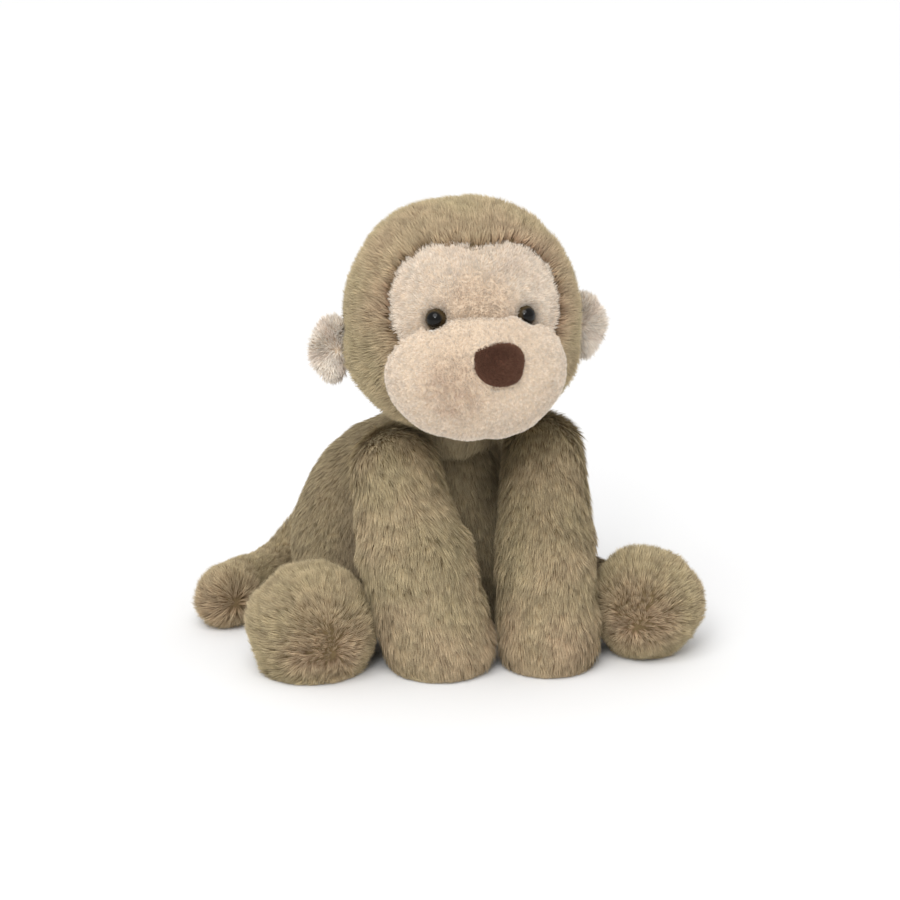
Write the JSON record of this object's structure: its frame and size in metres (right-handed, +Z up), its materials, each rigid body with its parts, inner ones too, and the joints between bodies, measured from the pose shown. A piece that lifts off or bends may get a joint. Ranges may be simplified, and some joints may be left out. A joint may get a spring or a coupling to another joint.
{
  "type": "stuffed monkey",
  "caption": "Seated soft monkey of long brown pile with a cream face, muzzle and ears; head, ears, arms, legs and tail flop on sewn joints.",
  "frame": {"origin": "centre of the flat seat panel, on the ground", "axes": "+Z up; the toy faces -Y; +X is the toy's own left"},
  "size_m": [0.2405, 0.2332, 0.2325],
  "materials": {
    "brown_pile": "long soft olive-brown pile",
    "cream_pile": "short dense cream pile",
    "nose_suede": "napped dark brown suede cloth",
    "eye_plastic": "polished near-black",
    "washer_plastic": "matt moulded",
    "stuffing_fibre": "loose white polyester fibre",
    "pellet_bag_cloth": "plain woven cloth",
    "label_ribbon": "blank satin ribbon"
  },
  "bodies": {
    "torso": {"body_front_panel": "brown_pile", "body_back_panel": "brown_pile", "seat_panel": "brown_pile", "body_stuffing": "stuffing_fibre", "seat_pellet_bag": "pellet_bag_cloth", "care_label": "label_ribbon"},
    "neck": {"neck_shell": "brown_pile", "neck_stuffing": "stuffing_fibre"},
    "head": {"head_shell": "brown_pile", "face_panel": "cream_pile", "muzzle_shell": "cream_pile", "nose": "nose_suede", "head_stuffing": "stuffing_fibre", "muzzle_stuffing": "stuffing_fibre", "eye_right": "eye_plastic", "eye_left": "eye_plastic", "eye_washer_right": "washer_plastic", "eye_washer_left": "washer_plastic"},
    "ear_right": {"ear_front_right": "cream_pile", "ear_back_right": "cream_pile"},
    "ear_left": {"ear_front_left": "cream_pile", "ear_back_left": "cream_pile"},
    "arm_right": {"arm_shell_right": "brown_pile", "paw_panel_right": "brown_pile", "arm_stuffing_right": "stuffing_fibre", "paw_pellet_bag_right": "pellet_bag_cloth"},
    "arm_left": {"arm_shell_left": "brown_pile", "paw_panel_left": "brown_pile", "arm_stuffing_left": "stuffing_fibre", "paw_pellet_bag_left": "pellet_bag_cloth"},
    "leg_right": {"leg_shell_right": "brown_pile", "leg_stuffing_right": "stuffing_fibre", "foot_shell_right": "brown_pile", "sole_panel_right": "brown_pile", "foot_stuffing_right": "stuffing_fibre", "foot_pellet_bag_right": "pellet_bag_cloth"},
    "leg_left": {"leg_shell_left": "brown_pile", "leg_stuffing_left": "stuffing_fibre", "foot_shell_left": "brown_pile", "sole_panel_left": "brown_pile", "foot_stuffing_left": "stuffing_fibre", "foot_pellet_bag_left": "pellet_bag_cloth"},
    "tail": {"tail_shell": "brown_pile", "tail_stuffing": "stuffing_fibre"}
  },
  "joints": [
    {"name": "neck_turn", "type": "hinge", "parent": "torso", "child": "neck", "pos_m": [0, -0.057, 0.13], "axis": [0, 0, 1], "range_deg": [-45, 45]},
    {"name": "head_nod", "type": "hinge", "parent": "neck", "child": "head", "pos_m": [0, -0.057, 0.13], "axis": [-1, 0, 0], "range_deg": [0, 25]},
    {"name": "ear_fold_right", "type": "hinge", "parent": "head", "child": "ear_right", "pos_m": [-0.05919, -0.06324, 0.158], "axis": [0, 0, 1], "range_deg": [-20, 45]},
    {"name": "ear_fold_left", "type": "hinge", "parent": "head", "child": "ear_left", "pos_m": [0.06096, -0.07587, 0.165], "axis": [0, 0, -1], "range_deg": [-20, 45]},
    {"name": "arm_swing_right", "type": "hinge", "parent": "torso", "child": "arm_right", "pos_m": [-0.035, -0.08, 0.099], "axis": [-1, 0, 0], "range_deg": [0, 60]},
    {"name": "arm_swing_left", "type": "hinge", "parent": "torso", "child": "arm_left", "pos_m": [0.043, -0.078, 0.101], "axis": [-1, 0, 0], "range_deg": [0, 60]},
    {"name": "leg_spread_right", "type": "hinge", "parent": "torso", "child": "leg_right", "pos_m": [-0.0575, -0.0605, 0.023], "axis": [0, 0, -1], "range_deg": [0, 50]},
    {"name": "leg_spread_left", "type": "hinge", "parent": "torso", "child": "leg_left", "pos_m": [0.0595, -0.063, 0.027], "axis": [0, 0, 1], "range_deg": [0, 50]},
    {"name": "tail_swing", "type": "hinge", "parent": "torso", "child": "tail", "pos_m": [-0.0385, 0.0695, 0.034], "axis": [0, 0, -1], "range_deg": [0, 45]}
  ]
}
